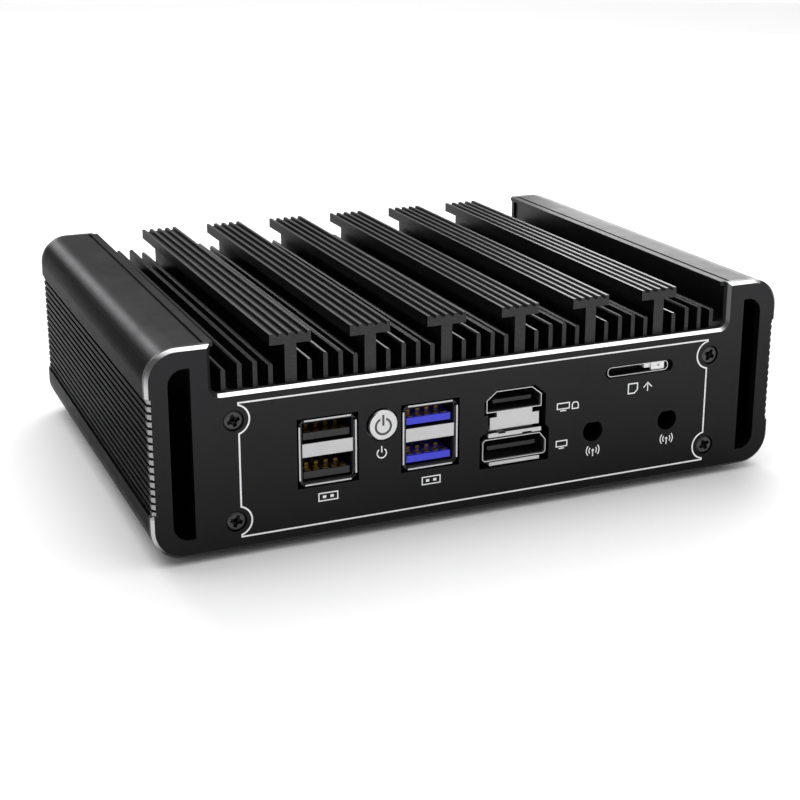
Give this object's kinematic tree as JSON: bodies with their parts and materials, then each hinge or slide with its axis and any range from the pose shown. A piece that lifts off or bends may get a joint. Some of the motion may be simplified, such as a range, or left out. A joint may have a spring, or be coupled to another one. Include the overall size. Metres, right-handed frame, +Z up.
{
  "type": "fanless mini pc",
  "caption": "Fanless mini computer in a finned black extruded case with dark end panels, front ports, video sockets, card slot, power button and antenna holes.",
  "frame": {"origin": "centre of the footprint, at the underside of the rubber feet", "axes": "+X to the right seen from the front, +Y from the front panel towards the rear panel, +Z up"},
  "size_m": [0.1772, 0.13, 0.055],
  "materials": {
    "case_black_anodised": "satin black anodised aluminium",
    "panel_dark_grey": "satin dark grey coating, bright cut edge",
    "cover_black": "fine black powder coat",
    "foot_rubber": "matt black rubber",
    "screw_black": "black zinc steel",
    "steel_bright": "nickel-plated sheet",
    "screw_steel": "zinc-plated steel",
    "spacer_brass": "turned brass",
    "tongue_black": "black moulded plastic",
    "tongue_blue": "blue moulded plastic",
    "contact_gold": "gold-plated",
    "video_insert_black": "black moulded plastic",
    "button_silver": "pearl silver",
    "plunger_black": "black nylon",
    "switch_black": "black nylon",
    "card_base_black": "black moulded plastic",
    "board_green": "green solder mask",
    "package_green": "green substrate",
    "silicon": "polished silicon",
    "pad_grey": "soft grey pad",
    "copper": "milled copper",
    "slot_black": "black nylon",
    "memory_green": "green solder mask",
    "chip_black": "black epoxy",
    "drive_green": "green solder mask",
    "battery_steel": "nickel-plated steel",
    "coil_grey": "pressed ferrite",
    "can_aluminium": "satin can",
    "jack_insert_black": "black moulded plastic",
    "light_lens": "milky light pipe",
    "inlet_black": "black moulded plastic",
    "inlet_pin_nickel": "nickel-plated pin"
  },
  "bodies": {
    "case": {"case_extrusion": "case_black_anodised", "front_plate": "panel_dark_grey", "rear_plate": "panel_dark_grey", "bottom_cover": "cover_black", "rubber_feet": "foot_rubber", "front_panel_screws": "screw_black", "rear_panel_screws": "screw_black", "bottom_cover_screws": "screw_black", "board_screws": "screw_steel", "board_spacers": "spacer_brass", "main_board": "board_green", "processor_package": "package_green", "processor_die": "silicon", "thermal_pad": "pad_grey", "copper_heat_block": "copper", "memory_slot": "slot_black", "memory_module": "memory_green", "memory_chips": "chip_black", "drive_socket": "slot_black", "drive_module": "drive_green", "drive_chips": "chip_black", "drive_screw": "screw_steel", "battery_holder": "slot_black", "coin_battery": "battery_steel", "power_inductors": "coil_grey", "capacitors": "can_aluminium", "network_chips": "chip_black", "black_port_shell": "steel_bright", "black_port_tongues": "tongue_black", "black_port_contacts": "contact_gold", "blue_port_shell": "steel_bright", "blue_port_tongues": "tongue_blue", "blue_port_contacts": "contact_gold", "upper_video_shell": "steel_bright", "lower_video_shell": "steel_bright", "upper_video_insert": "video_insert_black", "lower_video_insert": "video_insert_black", "video_contacts": "contact_gold", "video_bracket": "steel_bright", "card_socket_shell": "steel_bright", "card_socket_base": "card_base_black", "card_socket_contacts": "contact_gold", "switch_body": "switch_black", "network_jack_shells": "steel_bright", "network_jack_inserts": "jack_insert_black", "network_jack_contacts": "contact_gold", "network_jack_lights": "light_lens", "power_inlet_body": "inlet_black", "power_inlet_pin": "inlet_pin_nickel"},
    "button": {"power_button": "button_silver", "switch_plunger": "plunger_black"},
    "card_slider": {"card_socket_slider": "steel_bright"}
  },
  "joints": [
    {"name": "power_button_press", "type": "slide", "parent": "case", "child": "button", "axis": [0, 1, 0], "range_m": [0, 0.0005], "stiffness_N_per_m": 900, "springref_m": -0.0004},
    {"name": "card_slider_push", "type": "slide", "parent": "case", "child": "card_slider", "axis": [0, 1, 0], "range_m": [0, 0.0018], "stiffness_N_per_m": 300, "springref_m": -0.0005}
  ]
}
